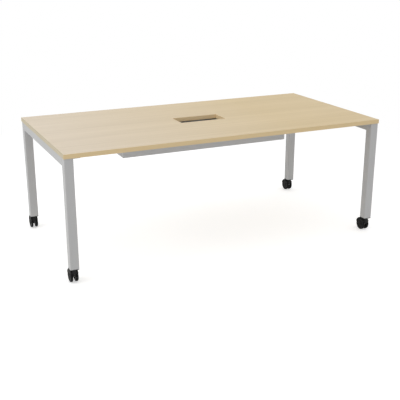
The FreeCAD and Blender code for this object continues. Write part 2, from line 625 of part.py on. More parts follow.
def make_wheel(name, east, north, turn):
    """Caster wheel with a dished outer face and a bore that stops short of it."""
    wheel = new_body(name)
    profile = sketch_on(wheel, "WheelProfile", "XY_Plane")
    inner, outer = "Sizes.wheel_gap / 2", "(Sizes.wheel_gap / 2 + Sizes.wheel_width)"
    tread, bore = AXLE_LEVEL, "Sizes.axle_diameter / 2 + Sizes.fit_gap"
    dish, cap = f"{outer} - Sizes.wheel_dish", f"{outer} - Sizes.wheel_cap"
    rim, hub = f"{tread} - Sizes.wheel_rim", "Sizes.wheel_hub / 2"
    polygon(profile, [(inner, bore), (cap, bore), (cap, "0"), (outer, "0"), (outer, hub),
                      (dish, f"{hub} + Sizes.wheel_dish"), (dish, f"{rim} - Sizes.wheel_dish"),
                      (outer, rim), (outer, tread), (inner, tread)])
    revolve(wheel, profile, "H_Axis")
    radius = value(tread)
    fillet(wheel, "WheelRound", "Sizes.wheel_round",
           lambda edge, middle: hasattr(edge.Curve, "Radius") and near(edge.Curve.Radius, radius))
    place(wheel, east, f"{north} + Sizes.caster_trail", AXLE_LEVEL, turn)


def make_casters():
    """A swivelling twin-wheel caster in the foot of each leg, its wheels trailing to the back."""
    for name, way_x, way_y in CORNERS:
        east, north = f"{way_x} * {LEG_X}", f"{way_y} * {LEG_Y}"
        make_insert(name, east, north)
        make_stem(name, east, north)
        make_hood(name, east, north)
        for side, way in ENDS:
            make_wheel(f"wheel_{name}_{side}", east, north, 90 - 90 * way)


def check_document():
    """Stop if any feature failed or any sub-part is missing or not a sound solid."""
    doc.recompute()
    for item in doc.Objects:
        if "Invalid" in item.State or "Error" in item.State:
            raise RuntimeError(f"{item.Label}: {item.State}")
    for item in nodes:
        if item.Shape.isNull() or not item.Shape.isValid() or not item.Shape.Solids:
            raise RuntimeError(f"{item.Label} has no sound shape")


def write_parts():
    """Write each sub-part to its own file."""
    os.makedirs("parts", exist_ok=True)
    for item in nodes:
        item.Shape.exportStep(f"parts/{item.Label}.step")
        box = item.Shape.optimalBoundingBox()
        print(f"{item.Label}: {len(item.Shape.Solids)} solids, x {box.XMin:.1f} to {box.XMax:.1f}, "
              f"y {box.YMin:.1f} to {box.YMax:.1f}, z {box.ZMin:.1f} to {box.ZMax:.1f}")


fill_sheet()
make_top()
make_edging()
make_legs()
make_end_rails()
make_beams()
make_frame_bolts()
make_tabs()
make_wood_screws()
make_tray()
make_casters()
check_document()
write_parts()
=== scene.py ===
"""Looks of a rolling meeting table: maple-decor top, silver-grey steel frame, black casters.

Metres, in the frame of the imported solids: +X along the table, +Y to the back, +Z up.
"""
import bpy
import math
from mathutils import Matrix, Vector


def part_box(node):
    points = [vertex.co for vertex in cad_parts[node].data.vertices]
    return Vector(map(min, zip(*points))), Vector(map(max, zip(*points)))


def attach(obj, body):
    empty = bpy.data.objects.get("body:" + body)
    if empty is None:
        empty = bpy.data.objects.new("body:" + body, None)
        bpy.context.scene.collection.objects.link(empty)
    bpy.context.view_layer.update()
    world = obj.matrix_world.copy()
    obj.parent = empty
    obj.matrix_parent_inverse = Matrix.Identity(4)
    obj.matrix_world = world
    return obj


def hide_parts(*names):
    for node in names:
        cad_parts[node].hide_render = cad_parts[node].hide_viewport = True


bl_info = {
    "name": "Rolling Meeting Table",
    "version": (1, 0, 0),
    "blender": (4, 5, 0),
    "location": "View3D > Sidebar > Table",
    "description": "Finishes, casters, fasteners and weld beads of a meeting table on casters",
    "category": "Object",
}

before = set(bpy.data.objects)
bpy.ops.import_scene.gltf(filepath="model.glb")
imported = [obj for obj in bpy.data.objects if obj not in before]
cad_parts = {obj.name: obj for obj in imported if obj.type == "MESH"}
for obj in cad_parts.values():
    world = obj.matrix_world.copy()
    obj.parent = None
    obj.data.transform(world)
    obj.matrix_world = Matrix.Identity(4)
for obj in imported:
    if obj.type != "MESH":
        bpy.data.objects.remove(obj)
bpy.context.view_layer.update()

CORNERS = ("front_left", "front_right", "rear_left", "rear_right")
ENDS = ("left", "right")
SIDES = ("front", "rear")
WHEEL_LOW, WHEEL_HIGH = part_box("wheel_front_left_right")
HOOD_LOW, HOOD_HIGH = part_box("caster_hood_front_left")

CLOSE = 0.00001  # metres within which two points count as level with each other
MERGE = 0.0001  # metres within which corners left by the cuts become one
SPARE = 0.01  # metres by which a cutting tool reaches past the piece
FASTENER_SPACE = 0.03  # metres, less than the space between two fasteners of a node
TAB_SPACE = 0.05  # metres, less than the space between two tabs of a node
FACING = 0.9  # least share of a face's normal along the axis that the face looks along
ROUND_END = 8  # corners that only the end face of a round shape has more of
BORE_DRAFT = 0.00001  # metres by which a wheel's bore narrows to its end
GUARD_RIM = 0.995  # share of the mudguard's radius past which a corner is on its rim
SEAM_INSET = 0.03  # weld beads' inset from a rail's faces, as a share of the rail's depth
BEAD_NECK = 0.88  # radius between two ripples of a weld bead, as a share of its full radius
BEAD_RISE = 0.6  # share of a ripple's length in which it swells
BEAD_MERGE = 0.05  # share of a ripple's length within which two ripples are joined
BEAD_END = 0.5  # length of a bead's rounded end, in radii
BEAD_TIP = 0.45  # radius at the end of a bead, as a share of its radius between ripples
HEAD_ROUND = 0.6  # rounding of a screw's head, as a share of the head's height
POINT_LENGTH = 1.6  # length of a screw's point, in radii of its shank
POINT_TIP = 0.15  # radius at a screw's tip, as a share of its shank's
SCREW_TURN = math.radians(37.0)  # turn from one screw's recess to the next
BEAD_SIDES, SCREW_SIDES, BOLT_SIDES = 10, 40, 48
NECK_SIDES, WHEEL_SIDES, GUARD_SIDES = 72, 96, 144
SHEEN_SPREAD = 0.05  # how far the figure moves the wood's roughness up and down
SCUFF = 0.006  # how much lighter a scuff is than its plastic, in linear light
MIX_FACTOR, MIX_A, MIX_B, MIX_RESULT = 0, 6, 7, 2  # sockets of a Mix node that mixes colours
WHITE = (1.0, 1.0, 1.0, 1.0)
FLOOR_SIZE = 120.0  # metres
FADE_START, FADE_END = 1.2, 3.4  # metres from the middle between which the floor turns white


def colour(name, description, default):
    """A colour that a user would change, in linear light."""
    return bpy.props.FloatVectorProperty(name=name, description=description, default=default, size=3,
                                         subtype="COLOR", min=0.0, max=1.0)


def length(name, description, default):
    """A size in metres that a user would change."""
    return bpy.props.FloatProperty(name=name, description=description, default=default, min=0.0,
                                   subtype="DISTANCE", unit="LENGTH", precision=5)


class TableColours(bpy.types.PropertyGroup):
    """Colours of the table's finishes."""

    # The board's paler, cooler left end is a painted sheen that fades into the warm tone at the right
    # end.
    wood_left_painted_sheen: colour("Wood with painted sheen", "Board's colour at its left end, paler from a painted sheen", (0.737, 0.625, 0.475))
    wood_warm: colour("Warm wood", "Tone of the board's decor at its right end", (0.705, 0.542, 0.290))
    edging: colour("Edging", "Strips on the two long edges of the top", (0.740, 0.567, 0.314))
    # The short edges use the edging strip painted darker: painted shade for how the light falls on them.
    end_edging_painted_shade: colour("End edging, painted shade", "Strips on the two short edges of the top", (0.524, 0.449, 0.287))
    # The cut-out uses the edging strip painted much lighter: painted light in the shaded cable cut-out.
    cutout_edging_painted_light: colour("Cut-out edging, painted light", "Strip inside the cable cut-out", (0.900, 0.693, 0.409))
    frame_paint: colour("Frame paint", "Powder coat of the steel frame", (0.490, 0.490, 0.490))
    tray_paint: colour("Tray paint", "Powder coat of the cable tray", (0.564, 0.567, 0.575))
    caster_black: colour("Caster black", "Plastic of the hoods and leg inserts", (0.006, 0.006, 0.0065))
    wheel_black: colour("Wheel black", "Moulded plastic of the wheels", (0.004, 0.004, 0.0045))
    steel: colour("Plated steel", "Stems, axles, bolts and screws", (0.600, 0.600, 0.580))


class CasterSizes(bpy.types.PropertyGroup):
    """Sizes of the modelled caster wheels and hoods."""

    wheel_radius: length("Wheel radius", "Tread of a wheel", (WHEEL_HIGH.z - WHEEL_LOW.z) / 2)
    wheel_width: length("Wheel width", "Face to face", WHEEL_HIGH.x - WHEEL_LOW.x)
    wheel_round: length("Tread rounding", "Rounding of the tread's two edges", 0.004)
    rim: length("Rim", "Flat ring outside the dish", 0.008)
    dish: length("Dish", "Depth of the dish in the outer face", 0.0025)
    hub_radius: length("Hub radius", "Raised hub in the dish", 0.012)
    bore_radius: length("Bore radius", "Hole for the axle", 0.00405)
    bore_depth: length("Bore depth", "Hole for the axle, from the inner face", 0.011)
    bore_wall: length("Bore wall", "Wall round the axle's hole, in the inner face", 0.004)
    groove_inset: length("Groove inset", "Edge of the hub to the groove in it", 0.0025)
    groove_step: length("Groove step", "Width of the groove's floor and of each slope", 0.001)
    groove_depth: length("Groove depth", "Depth of the groove in the hub", 0.0008)
    relief: length("Relief", "Depth of the hollow in the inner face", 0.003)
    relief_slope: length("Relief slope", "Width of the hollow's sloping sides", 0.001)
    trail: length("Trail", "Swivel axis to axle", 0.024)
    hood_width: length("Hood width", "Mudguard, side to side", HOOD_HIGH.x - HOOD_LOW.x)
    hood_top: length("Hood top", "Top of the neck above the floor", HOOD_HIGH.z)
    guard_gap: length("Guard gap", "Tread to mudguard", 0.0015)
    guard_wall: length("Guard wall", "Thickness of the mudguard", 0.003)
    guard_round: length("Guard rounding", "Rounding of the mudguard's long edges", 0.002)
    web: length("Web", "Hood's web between the wheels", 0.015)
    boss_radius: length("Boss radius", "Hood's boss round the axle", 0.014)
    neck_radius: length("Neck radius", "Hood's neck round the stem", 0.012)
    neck_height: length("Neck height", "Hood's neck, upright", 0.038)
    stem_bore: length("Stem bore", "Radius of the hole for the stem", 0.00505)
    guard_front: bpy.props.FloatProperty(
        name="Guard front", description="Mudguard's front end, from level at the back", subtype="ANGLE",
        default=math.radians(150))
    guard_rear: bpy.props.FloatProperty(
        name="Guard rear", description="Mudguard's rear end, from level at the back", subtype="ANGLE",
        default=math.radians(10))


class FastenerSizes(bpy.types.PropertyGroup):
    """Sizes of the modelled bolts, screws and weld beads."""

    bolt_head: length("Bolt head", "Radius of a frame bolt's head", 0.007)
    bolt_head_height: length("Bolt head height", "Along the bolt", 0.005)
    bolt_socket: length("Bolt socket", "Hexagon across its flats", 0.005)
    bolt_socket_depth: length("Bolt socket depth", "Along the bolt", 0.003)
    bolt_shank: length("Bolt shank", "Radius", 0.004)
    screw_head: length("Screw head", "Radius of a wood screw's pan head", 0.005)
    screw_head_height: length("Screw head height", "Along the screw", 0.003)
    screw_shank: length("Screw shank", "Radius", 0.0025)
    screw_slot: length("Screw recess", "Width of a cross recess's arms", 0.0012)
    weld_radius: length("Weld bead", "Radius of a weld bead", 0.0021)
    weld_pitch: length("Weld ripple", "Pitch of a weld bead's ripples", 0.0017)


class StageSettings(bpy.types.PropertyGroup):
    """Camera and studio light."""

    camera_place: bpy.props.FloatVectorProperty(
        name="Camera place", description="Where the camera stands", size=3, subtype="TRANSLATION",
        unit="LENGTH", default=(-1.9189, -4.1280, 1.7248))
    camera_azimuth: bpy.props.FloatProperty(
        name="Azimuth", description="Camera's turn about the vertical", subtype="ANGLE",
        default=math.radians(-25.013))
    camera_elevation: bpy.props.FloatProperty(
        name="Elevation", description="How far the camera looks down", subtype="ANGLE",
        default=math.radians(18.545))
    lens: bpy.props.FloatProperty(
        name="Lens", description="Focal length on a 36 mm wide sensor", subtype="DISTANCE_CAMERA",
        default=66.743)
    sky_strength: bpy.props.FloatProperty(
        name="Sky", description="Even light from all round", default=0.735, min=0.0)
    key_power: bpy.props.FloatProperty(
        name="Key light", description="Large soft light at the upper left", subtype="POWER",
        default=36.0)
    top_power: bpy.props.FloatProperty(
        name="Top light", description="Wide soft light overhead", subtype="POWER", default=14.0)
    floor_lift: bpy.props.FloatProperty(
        name="Floor lift", description="How much brighter than its light the floor is seen",
        default=0.49, min=0.0)
    floor_white: colour("Floor", "Pale studio floor", (0.86, 0.86, 0.86))


def deselect_all():
    """Leave edit mode and select nothing."""
    if bpy.context.object and bpy.context.object.mode != "OBJECT":
        bpy.ops.object.mode_set(mode="OBJECT")
    bpy.ops.object.select_all(action="DESELECT")


def start_selection(piece):
    """Leave edit mode with nothing of the mesh selected."""
    bpy.ops.object.mode_set(mode="OBJECT")
    mesh = piece.data
    for group in (mesh.vertices, mesh.edges, mesh.polygons):
        group.foreach_set("select", [False] * len(group))
    return mesh


def select_faces(piece, wanted):
    """In edit mode, select only the faces that satisfy a test."""
    for face in start_selection(piece).polygons:
        face.select = wanted(face)
    bpy.ops.object.mode_set(mode="EDIT")
    bpy.ops.mesh.select_mode(type="FACE")


def select_edges(piece, wanted):
    """In edit mode, select only the edges whose two ends satisfy a test."""
    mesh = start_selection(piece)
    for edge in mesh.edges:
        first, second = (mesh.vertices[index].co for index in edge.vertices)
        edge.select = wanted(first, second)
    bpy.ops.object.mode_set(mode="EDIT")
    bpy.ops.mesh.select_mode(type="EDGE")


def extrude_up(rise):
    """In edit mode, extrude what is selected along Z."""
    bpy.ops.mesh.extrude_region_move(TRANSFORM_OT_translate={"value": (0.0, 0.0, rise)})


def scale_across(share, level=0.0):
    """In edit mode, scale what is selected about the Z axis."""
    bpy.ops.transform.resize(value=(share, share, 1.0), center_override=(0.0, 0.0, level))


def finish_mesh(piece, bevel=0.0, bevel_angle=40.0, smooth_angle=35.0):
    """Soften the piece's sharp edges, apply its place and shade it smooth."""
    deselect_all()
    piece.select_set(True)
    bpy.context.view_layer.objects.active = piece
    bpy.ops.object.transform_apply(location=True, rotation=True, scale=True)
    if bevel:
        modifier = piece.modifiers.new("SoftEdges", "BEVEL")
        modifier.width = bevel
        modifier.segments = 2
        modifier.limit_method = "ANGLE"
        modifier.angle_limit = math.radians(bevel_angle)
        bpy.ops.object.modifier_apply(modifier=modifier.name)
    bpy.ops.object.shade_smooth_by_angle(angle=math.radians(smooth_angle))


def solid_boxes(name, space=FASTENER_SPACE):
    """Low and high corners of a node's separate solids, told apart by the space between them."""
    boxes = []
    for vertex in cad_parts[name].data.vertices:
        point = vertex.co
        for low, high in boxes:
            if all(low[axis] - space < point[axis] < high[axis] + space for axis in range(3)):
                low[:] = map(min, low, point)
                high[:] = map(max, high, point)
                break
        else:
            boxes.append((point.copy(), point.copy()))
    return boxes


def cylinder_between(start, end, radius, sides=64):
    """Round bar from one point to another, its place applied."""
    deselect_all()
    bpy.ops.mesh.primitive_cylinder_add(vertices=sides, radius=radius, depth=(end - start).length,
                                        location=(start + end) / 2,
                                        rotation=(end - start).to_track_quat("Z", "Y").to_euler())
    bpy.ops.object.transform_apply(location=True, rotation=True, scale=True)
    return bpy.context.object


def combine(piece, tool, operation):
    """Add a tool shape to a piece, or cut it out of the piece."""
    deselect_all()
    piece.select_set(True)
    bpy.context.view_layer.objects.active = piece
    modifier = piece.modifiers.new(operation.title(), "BOOLEAN")
    modifier.operation = operation
    modifier.solver = "EXACT"
    modifier.object = tool
    bpy.ops.object.modifier_apply(modifier=modifier.name)
    drop(tool)


def join_pieces(pieces, name):
    """Make several copies one piece."""
    deselect_all()
    for piece in pieces:
        piece.select_set(True)
    bpy.context.view_layer.objects.active = pieces[0]
    if len(pieces) > 1:
        bpy.ops.object.join()
    pieces[0].name = name
    pieces[0].data.name = name
    return pieces[0]


def copy_piece(source, name, place):
    """Copy of a modelled piece with its own mesh, put in its place."""
    piece = source.copy()
    piece.data = source.data.copy()
    piece.name = name
    piece.data.name = name
    piece.data.transform(place)
    bpy.context.scene.collection.objects.link(piece)
    return piece


def drop(piece):
    """Remove a model or a tool that has done its work."""
    mesh = piece.data
    bpy.data.objects.remove(piece)
    bpy.data.meshes.remove(mesh)


def paint(item, material):
    """Give a piece one material in all its slots."""
    item.data.materials.clear()
    item.data.materials.append(material)


def paint_nodes(material, *names):
    """Give solids of the frame their finish."""
    for name in names:
        paint(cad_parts[name], material)


def new_group(name, inputs, outputs):
    """Empty shader node group with named sockets."""
    group = bpy.data.node_groups.new(name, "ShaderNodeTree")
    for socket, kind, default in inputs:
        item = group.interface.new_socket(socket, in_out="INPUT", socket_type=kind)
        if default is not None:
            item.default_value = default
    for socket, kind in outputs:
        group.interface.new_socket(socket, in_out="OUTPUT", socket_type=kind)
    return group


def add(tree, kind, **settings):
    """Add a node, setting its properties and, by socket name, its inputs."""
    node = tree.nodes.new(kind)
    for key, setting in settings.items():
        if key in node.bl_rna.properties:
            setattr(node, key, setting)
        else:
            node.inputs[key.replace("_", " ")].default_value = setting
    return node


def link(tree, source, output, target, socket):
    """Join two nodes by the names of their sockets."""
    tree.links.new(source.outputs[output], target.inputs[socket])


def ramp_node(tree, low, high, first=0.0, second=1.0):
    """Map a value between two limits onto two outputs, clamped."""
    node = add(tree, "ShaderNodeMapRange", clamp=True)
    limits = {"From Min": low, "From Max": high, "To Min": first, "To Max": second}
    for socket, number in limits.items():
        node.inputs[socket].default_value = number
    return node


def grain_group():
    """Wood decor whose grain runs along X: its place along the board, which fades out a painted sheen,
    figure, pores and a height.
    """
    group = new_group("Maple Grain",
                      [("Vector", "NodeSocketVector", None)],
                      [("Painted Sheen Fade", "NodeSocketFloat"), ("Figure", "NodeSocketFloat"),
                       ("Pores", "NodeSocketFloat"), ("Height", "NodeSocketFloat")])
    start = group.nodes.new("NodeGroupInput")
    end = group.nodes.new("NodeGroupOutput")
    broad_place = add(group, "ShaderNodeMapping", Scale=(0.55, 7.0, 7.0))
    broad = add(group, "ShaderNodeTexNoise", Scale=1.0, Detail=4.0, Roughness=0.55, Distortion=0.6)
    streak_place = add(group, "ShaderNodeMapping", Scale=(1.3, 70.0, 70.0))
    streak = add(group, "ShaderNodeTexNoise", Scale=1.0, Detail=5.0, Roughness=0.62)
    pore_place = add(group, "ShaderNodeMapping", Scale=(26.0, 900.0, 900.0))
    pore = add(group, "ShaderNodeTexNoise", Scale=1.0, Detail=2.0, Roughness=0.5)
    for place, texture in ((broad_place, broad), (streak_place, streak), (pore_place, pore)):
        link(group, start, "Vector", place, "Vector")
        link(group, place, "Vector", texture, "Vector")
    mix = add(group, "ShaderNodeMix", data_type="FLOAT")
    mix.inputs["Factor"].default_value = 0.55
    link(group, broad, "Fac", mix, "A")
    link(group, streak, "Fac", mix, "B")
    figure = ramp_node(group, 0.36, 0.64)
    link(group, mix, "Result", figure, "Value")
    pores = ramp_node(group, 0.60, 0.72)
    link(group, pore, "Fac", pores, "Value")
    split = group.nodes.new("ShaderNodeSeparateXYZ")
    link(group, start, "Vector", split, "Vector")
    # Ramp along X that fades the painted sheen of the left end into the right end's tone.
    along = ramp_node(group, -0.9, 0.45)
    link(group, split, "X", along, "Value")
    link(group, along, "Result", end, "Painted Sheen Fade")
    link(group, figure, "Result", end, "Figure")
    link(group, pores, "Result", end, "Pores")
    link(group, pore, "Fac", end, "Height")
    return group


def coat_group():
    """Powder coat: a slight change of tone, an uneven sheen and an orange-peel height."""
    group = new_group("Powder Coat",
                      [("Vector", "NodeSocketVector", None),
                       ("Peel Scale", "NodeSocketFloat", 900.0)],
                      [("Tone", "NodeSocketFloat"), ("Sheen", "NodeSocketFloat"),
                       ("Height", "NodeSocketFloat")])
    start = group.nodes.new("NodeGroupInput")
    end = group.nodes.new("NodeGroupOutput")
    cloud = add(group, "ShaderNodeTexNoise", Scale=3.2, Detail=3.0, Roughness=0.5)
    flake = add(group, "ShaderNodeTexNoise", Scale=2600.0, Detail=1.0, Roughness=0.5)
    peel = add(group, "ShaderNodeTexNoise", Detail=1.5, Roughness=0.45)
    for texture in (cloud, flake, peel):
        link(group, start, "Vector", texture, "Vector")
    link(group, start, "Peel Scale", peel, "Scale")
    mix = add(group, "ShaderNodeMix", data_type="FLOAT")
    mix.inputs["Factor"].default_value = 0.45
    link(group, cloud, "Fac", mix, "A")
    link(group, flake, "Fac", mix, "B")
    tone = ramp_node(group, 0.30, 0.70, 0.965, 1.035)
    link(group, mix, "Result", tone, "Value")
    sheen = ramp_node(group, 0.30, 0.70, 0.40, 0.50)
    link(group, cloud, "Fac", sheen, "Value")
    link(group, tone, "Result", end, "Tone")
    link(group, sheen, "Result", end, "Sheen")
    link(group, peel, "Fac", end, "Height")
    return group


def mould_group():
    """Moulded plastic: fine spark-eroded grain, scuffs and an uneven sheen."""
    group = new_group("Moulded Skin",
                      [("Vector", "NodeSocketVector", None),
                       ("Grain Scale", "NodeSocketFloat", 1400.0)],
                      [("Scuff", "NodeSocketFloat"), ("Sheen", "NodeSocketFloat"),
                       ("Height", "NodeSocketFloat")])
    start = group.nodes.new("NodeGroupInput")
    end = group.nodes.new("NodeGroupOutput")
    grain = add(group, "ShaderNodeTexNoise", Detail=2.0, Roughness=0.6)
    cloud = add(group, "ShaderNodeTexNoise", Scale=60.0, Detail=4.0, Roughness=0.6)
    for texture in (grain, cloud):
        link(group, start, "Vector", texture, "Vector")
    link(group, start, "Grain Scale", grain, "Scale")
    scuff = ramp_node(group, 0.55, 0.78)
    link(group, cloud, "Fac", scuff, "Value")
    sheen = ramp_node(group, 0.30, 0.70, 0.42, 0.60)
    link(group, cloud, "Fac", sheen, "Value")
    link(group, scuff, "Result", end, "Scuff")
    link(group, sheen, "Result", end, "Sheen")
    link(group, grain, "Fac", end, "Height")
    return group


def start_material(name, effect_group, turn=0.0):
    """Material with object coordinates, turned about the vertical, led into an effect group."""
    material = bpy.data.materials.new(name)
    material.use_nodes = True
    tree = material.node_tree
    shader = tree.nodes["Principled BSDF"]
    place = tree.nodes.new("ShaderNodeTexCoord")
    effect = tree.nodes.new("ShaderNodeGroup")
    effect.node_tree = effect_group
    turned = add(tree, "ShaderNodeMapping", Rotation=(0.0, 0.0, turn))
    link(tree, place, "Object", turned, "Vector")
    link(tree, turned, "Vector", effect, "Vector")
    return material, tree, shader, effect


def shared_group(name, builder):
    """The effect group of that name, built the first time that a material asks for it."""
    return bpy.data.node_groups.get(name) or builder()


def mix_colours(tree, factor_node, factor_output, first, second):
    """Colour between two colours, by a mask."""
    node = add(tree, "ShaderNodeMix", data_type="RGBA")
    node.inputs[MIX_A].default_value = (*first, 1.0)
    node.inputs[MIX_B].default_value = (*second, 1.0)
    tree.links.new(factor_node.outputs[factor_output], node.inputs[MIX_FACTOR])
    return node


def multiply_colour(tree, source, factor):
    """A mixed colour, darkened or lightened by a value."""
    node = add(tree, "ShaderNodeMix", data_type="RGBA", blend_type="MULTIPLY")
    node.inputs[MIX_FACTOR].default_value = 1.0
    tree.links.new(source.outputs[MIX_RESULT], node.inputs[MIX_A])
    tree.links.new(factor.outputs["Result"], node.inputs[MIX_B])
    return node


def tint_base(tree, shader, base, coat):
    """Base colour that a coat's tone lightens and darkens."""
    tone = add(tree, "ShaderNodeMix", data_type="RGBA", blend_type="MULTIPLY")
    tone.inputs[MIX_FACTOR].default_value = 1.0
    tone.inputs[MIX_A].default_value = (*base, 1.0)
    tree.links.new(coat.outputs["Tone"], tone.inputs[MIX_B])
    tree.links.new(tone.outputs[MIX_RESULT], shader.inputs["Base Color"])


def add_bump(tree, shader, source, output, strength, distance):
    """Raise the surface by a height."""
    bump = add(tree, "ShaderNodeBump", Strength=strength, Distance=distance)
    link(tree, source, output, bump, "Height")
    link(tree, bump, "Normal", shader, "Normal")


def wood_material(name, left, right, contrast, roughness, turn=0.0):
    """Satin wood decor: a change of tone along the grain from the left colour to the right, on the board
    a painted sheen at the left end, a soft figure and fine pores.
    """
    material, tree, shader, grain = start_material(name, shared_group("Maple Grain", grain_group), turn)
    # Mix the left end's colour, which carries a painted sheen, into the right end's colour.
    board = mix_colours(tree, grain, "Painted Sheen Fade", left, right)
    figure = ramp_node(tree, 0.0, 1.0, 1.0 - contrast, 1.0 + contrast)
    link(tree, grain, "Figure", figure, "Value")
    pores = ramp_node(tree, 0.0, 1.0, 1.0, 1.0 - contrast)
    link(tree, grain, "Pores", pores, "Value")
    toned = multiply_colour(tree, multiply_colour(tree, board, figure), pores)
    tree.links.new(toned.outputs[MIX_RESULT], shader.inputs["Base Color"])
    sheen = ramp_node(tree, 0.0, 1.0, roughness + SHEEN_SPREAD, roughness - SHEEN_SPREAD)
    link(tree, grain, "Figure", sheen, "Value")
    link(tree, sheen, "Result", shader, "Roughness")
    add_bump(tree, shader, grain, "Height", strength=0.12, distance=0.0004)
    return material


def coat_material(name, base, metallic):
    """Silver-grey powder coat."""
    material, tree, shader, coat = start_material(name, shared_group("Powder Coat", coat_group))
    tint_base(tree, shader, base, coat)
    shader.inputs["Metallic"].default_value = metallic
    link(tree, coat, "Sheen", shader, "Roughness")
    add_bump(tree, shader, coat, "Height", strength=0.10, distance=0.0003)
    return material


def plastic_material(name, base, grain_scale, gloss):
    """Black moulded plastic with a fine grain and faint grey scuffs."""
    material, tree, shader, skin = start_material(name, shared_group("Moulded Skin", mould_group))
    skin.inputs["Grain Scale"].default_value = grain_scale
    scuffed = [channel + SCUFF for channel in base]
    tone = mix_colours(tree, skin, "Scuff", base, scuffed)
    tree.links.new(tone.outputs[MIX_RESULT], shader.inputs["Base Color"])
    link(tree, skin, "Sheen", shader, "Roughness")
    shader.inputs["Specular IOR Level"].default_value = gloss
    add_bump(tree, shader, skin, "Height", strength=0.15, distance=0.0002)
    return material


def steel_material(name, base):
    """Bright zinc plate with a fine grain and a mottled sheen."""
    material, tree, shader, coat = start_material(name, shared_group("Powder Coat", coat_group))
    coat.inputs["Peel Scale"].default_value = 3200.0
    tint_base(tree, shader, base, coat)
    shader.inputs["Metallic"].default_value = 1.0
    sheen = ramp_node(tree, 0.40, 0.50, 0.24, 0.36)
    link(tree, coat, "Sheen", sheen, "Value")
    link(tree, sheen, "Result", shader, "Roughness")
    add_bump(tree, shader, coat, "Height", strength=0.05, distance=0.0002)
    return material


def light_path_sum(tree):
    """One where a ray comes straight from the camera, or from gloss or glass."""
    path = tree.nodes.new("ShaderNodeLightPath")
    first = add(tree, "ShaderNodeMath", operation="ADD", use_clamp=True)
    second = add(tree, "ShaderNodeMath", operation="ADD", use_clamp=True)
    tree.links.new(path.outputs["Is Camera Ray"], first.inputs[0])
    tree.links.new(path.outputs["Is Glossy Ray"], first.inputs[1])
    tree.links.new(first.outputs[0], second.inputs[0])
    tree.links.new(path.outputs["Is Transmission Ray"], second.inputs[1])
    return second


class TABLE_OT_stage(bpy.types.Operator):
    """Set the floor, the white surroundings, the soft lights and the camera"""

    bl_idname = "table.stage"
    bl_label = "Stage"

    def execute(self, context):
        stage = context.scene.table_stage
        self.make_floor(stage)
        self.make_sky(context, stage)
        self.make_lights(stage)
        self.make_camera(context, stage)
        context.scene.view_settings.view_transform = "Standard"
        return {"FINISHED"}

    def make_floor(self, stage):
        """Pale floor that keeps the object's shadow and fades into the white surroundings."""
        deselect_all()
        bpy.ops.mesh.primitive_plane_add(size=FLOOR_SIZE)
        floor = bpy.context.object
        floor.name = "StudioFloor"
        material = bpy.data.materials.new("StudioFloor")
        material.use_nodes = True
        tree = material.node_tree
        shader = tree.nodes["Principled BSDF"]
        shader.inputs["Base Color"].default_value = (*stage.floor_white, 1.0)
        shader.inputs["Roughness"].default_value = 0.9
        shader.inputs["Specular IOR Level"].default_value = 0.1
        shader.inputs["Emission Color"].default_value = WHITE
        seen = light_path_sum(tree)
        lift = ramp_node(tree, 0.0, 1.0, 0.0, stage.floor_lift)
        tree.links.new(seen.outputs[0], lift.inputs["Value"])
        link(tree, lift, "Result", shader, "Emission Strength")
        place = tree.nodes.new("ShaderNodeTexCoord")
        away = add(tree, "ShaderNodeVectorMath", operation="LENGTH")
        link(tree, place, "Object", away, "Vector")
        fade = ramp_node(tree, FADE_START, FADE_END)
        fade.interpolation_type = "SMOOTHSTEP"
        link(tree, away, "Value", fade, "Value")
        both = add(tree, "ShaderNodeMath", operation="MULTIPLY")
        tree.links.new(fade.outputs["Result"], both.inputs[0])
        tree.links.new(seen.outputs[0], both.inputs[1])
        white = add(tree, "ShaderNodeEmission", Strength=1.0)
        choose = tree.nodes.new("ShaderNodeMixShader")
        tree.links.new(both.outputs[0], choose.inputs[0])
        tree.links.new(shader.outputs[0], choose.inputs[1])
        tree.links.new(white.outputs[0], choose.inputs[2])
        link(tree, choose, "Shader", tree.nodes["Material Output"], "Surface")
        paint(floor, material)

    def make_sky(self, context, stage):
        """Even grey light from all round, seen as white."""
        world = bpy.data.worlds.new("Studio")
        world.use_nodes = True
        context.scene.world = world
        tree = world.node_tree
        light = tree.nodes["Background"]
        light.inputs["Color"].default_value = WHITE
        light.inputs["Strength"].default_value = stage.sky_strength
        white = add(tree, "ShaderNodeBackground", Strength=1.0)
        white.inputs["Color"].default_value = WHITE
        choose = tree.nodes.new("ShaderNodeMixShader")
        seen = light_path_sum(tree)
        tree.links.new(seen.outputs[0], choose.inputs[0])
        tree.links.new(light.outputs[0], choose.inputs[1])
        tree.links.new(white.outputs[0], choose.inputs[2])
        link(tree, choose, "Shader", tree.nodes["World Output"], "Surface")

    def make_lights(self, stage):
        """A large key light at the upper left and a wide light overhead."""
        for name, power, size, place, target in (
                ("KeyLight", stage.key_power, 2.6, Vector((-4.6, -0.4, 2.6)), Vector((0.0, 0.0, 0.4))),
                ("TopLight", stage.top_power, 3.6, Vector((-0.6, 0.4, 4.2)), Vector((0.0, 0.0, 0.7)))):
            lamp = bpy.data.lights.new(name, "AREA")
            lamp.energy = power
            lamp.shape = "SQUARE"
            lamp.size = size
            item = bpy.data.objects.new(name, lamp)
            item.location = place
            item.rotation_euler = (target - place).to_track_quat("-Z", "Y").to_euler()
            bpy.context.scene.collection.objects.link(item)

    def make_camera(self, context, stage):
        """Camera at the photograph's viewing angle."""
        camera = bpy.data.cameras.new("PhotoView")
        camera.sensor_width = 36.0
        camera.lens = stage.lens
        camera.clip_end = 200.0
        item = bpy.data.objects.new("PhotoView", camera)
        item.location = stage.camera_place
        item.rotation_euler = (math.pi / 2 - stage.camera_elevation, 0.0, stage.camera_azimuth)
        context.scene.collection.objects.link(item)
        context.scene.camera = item


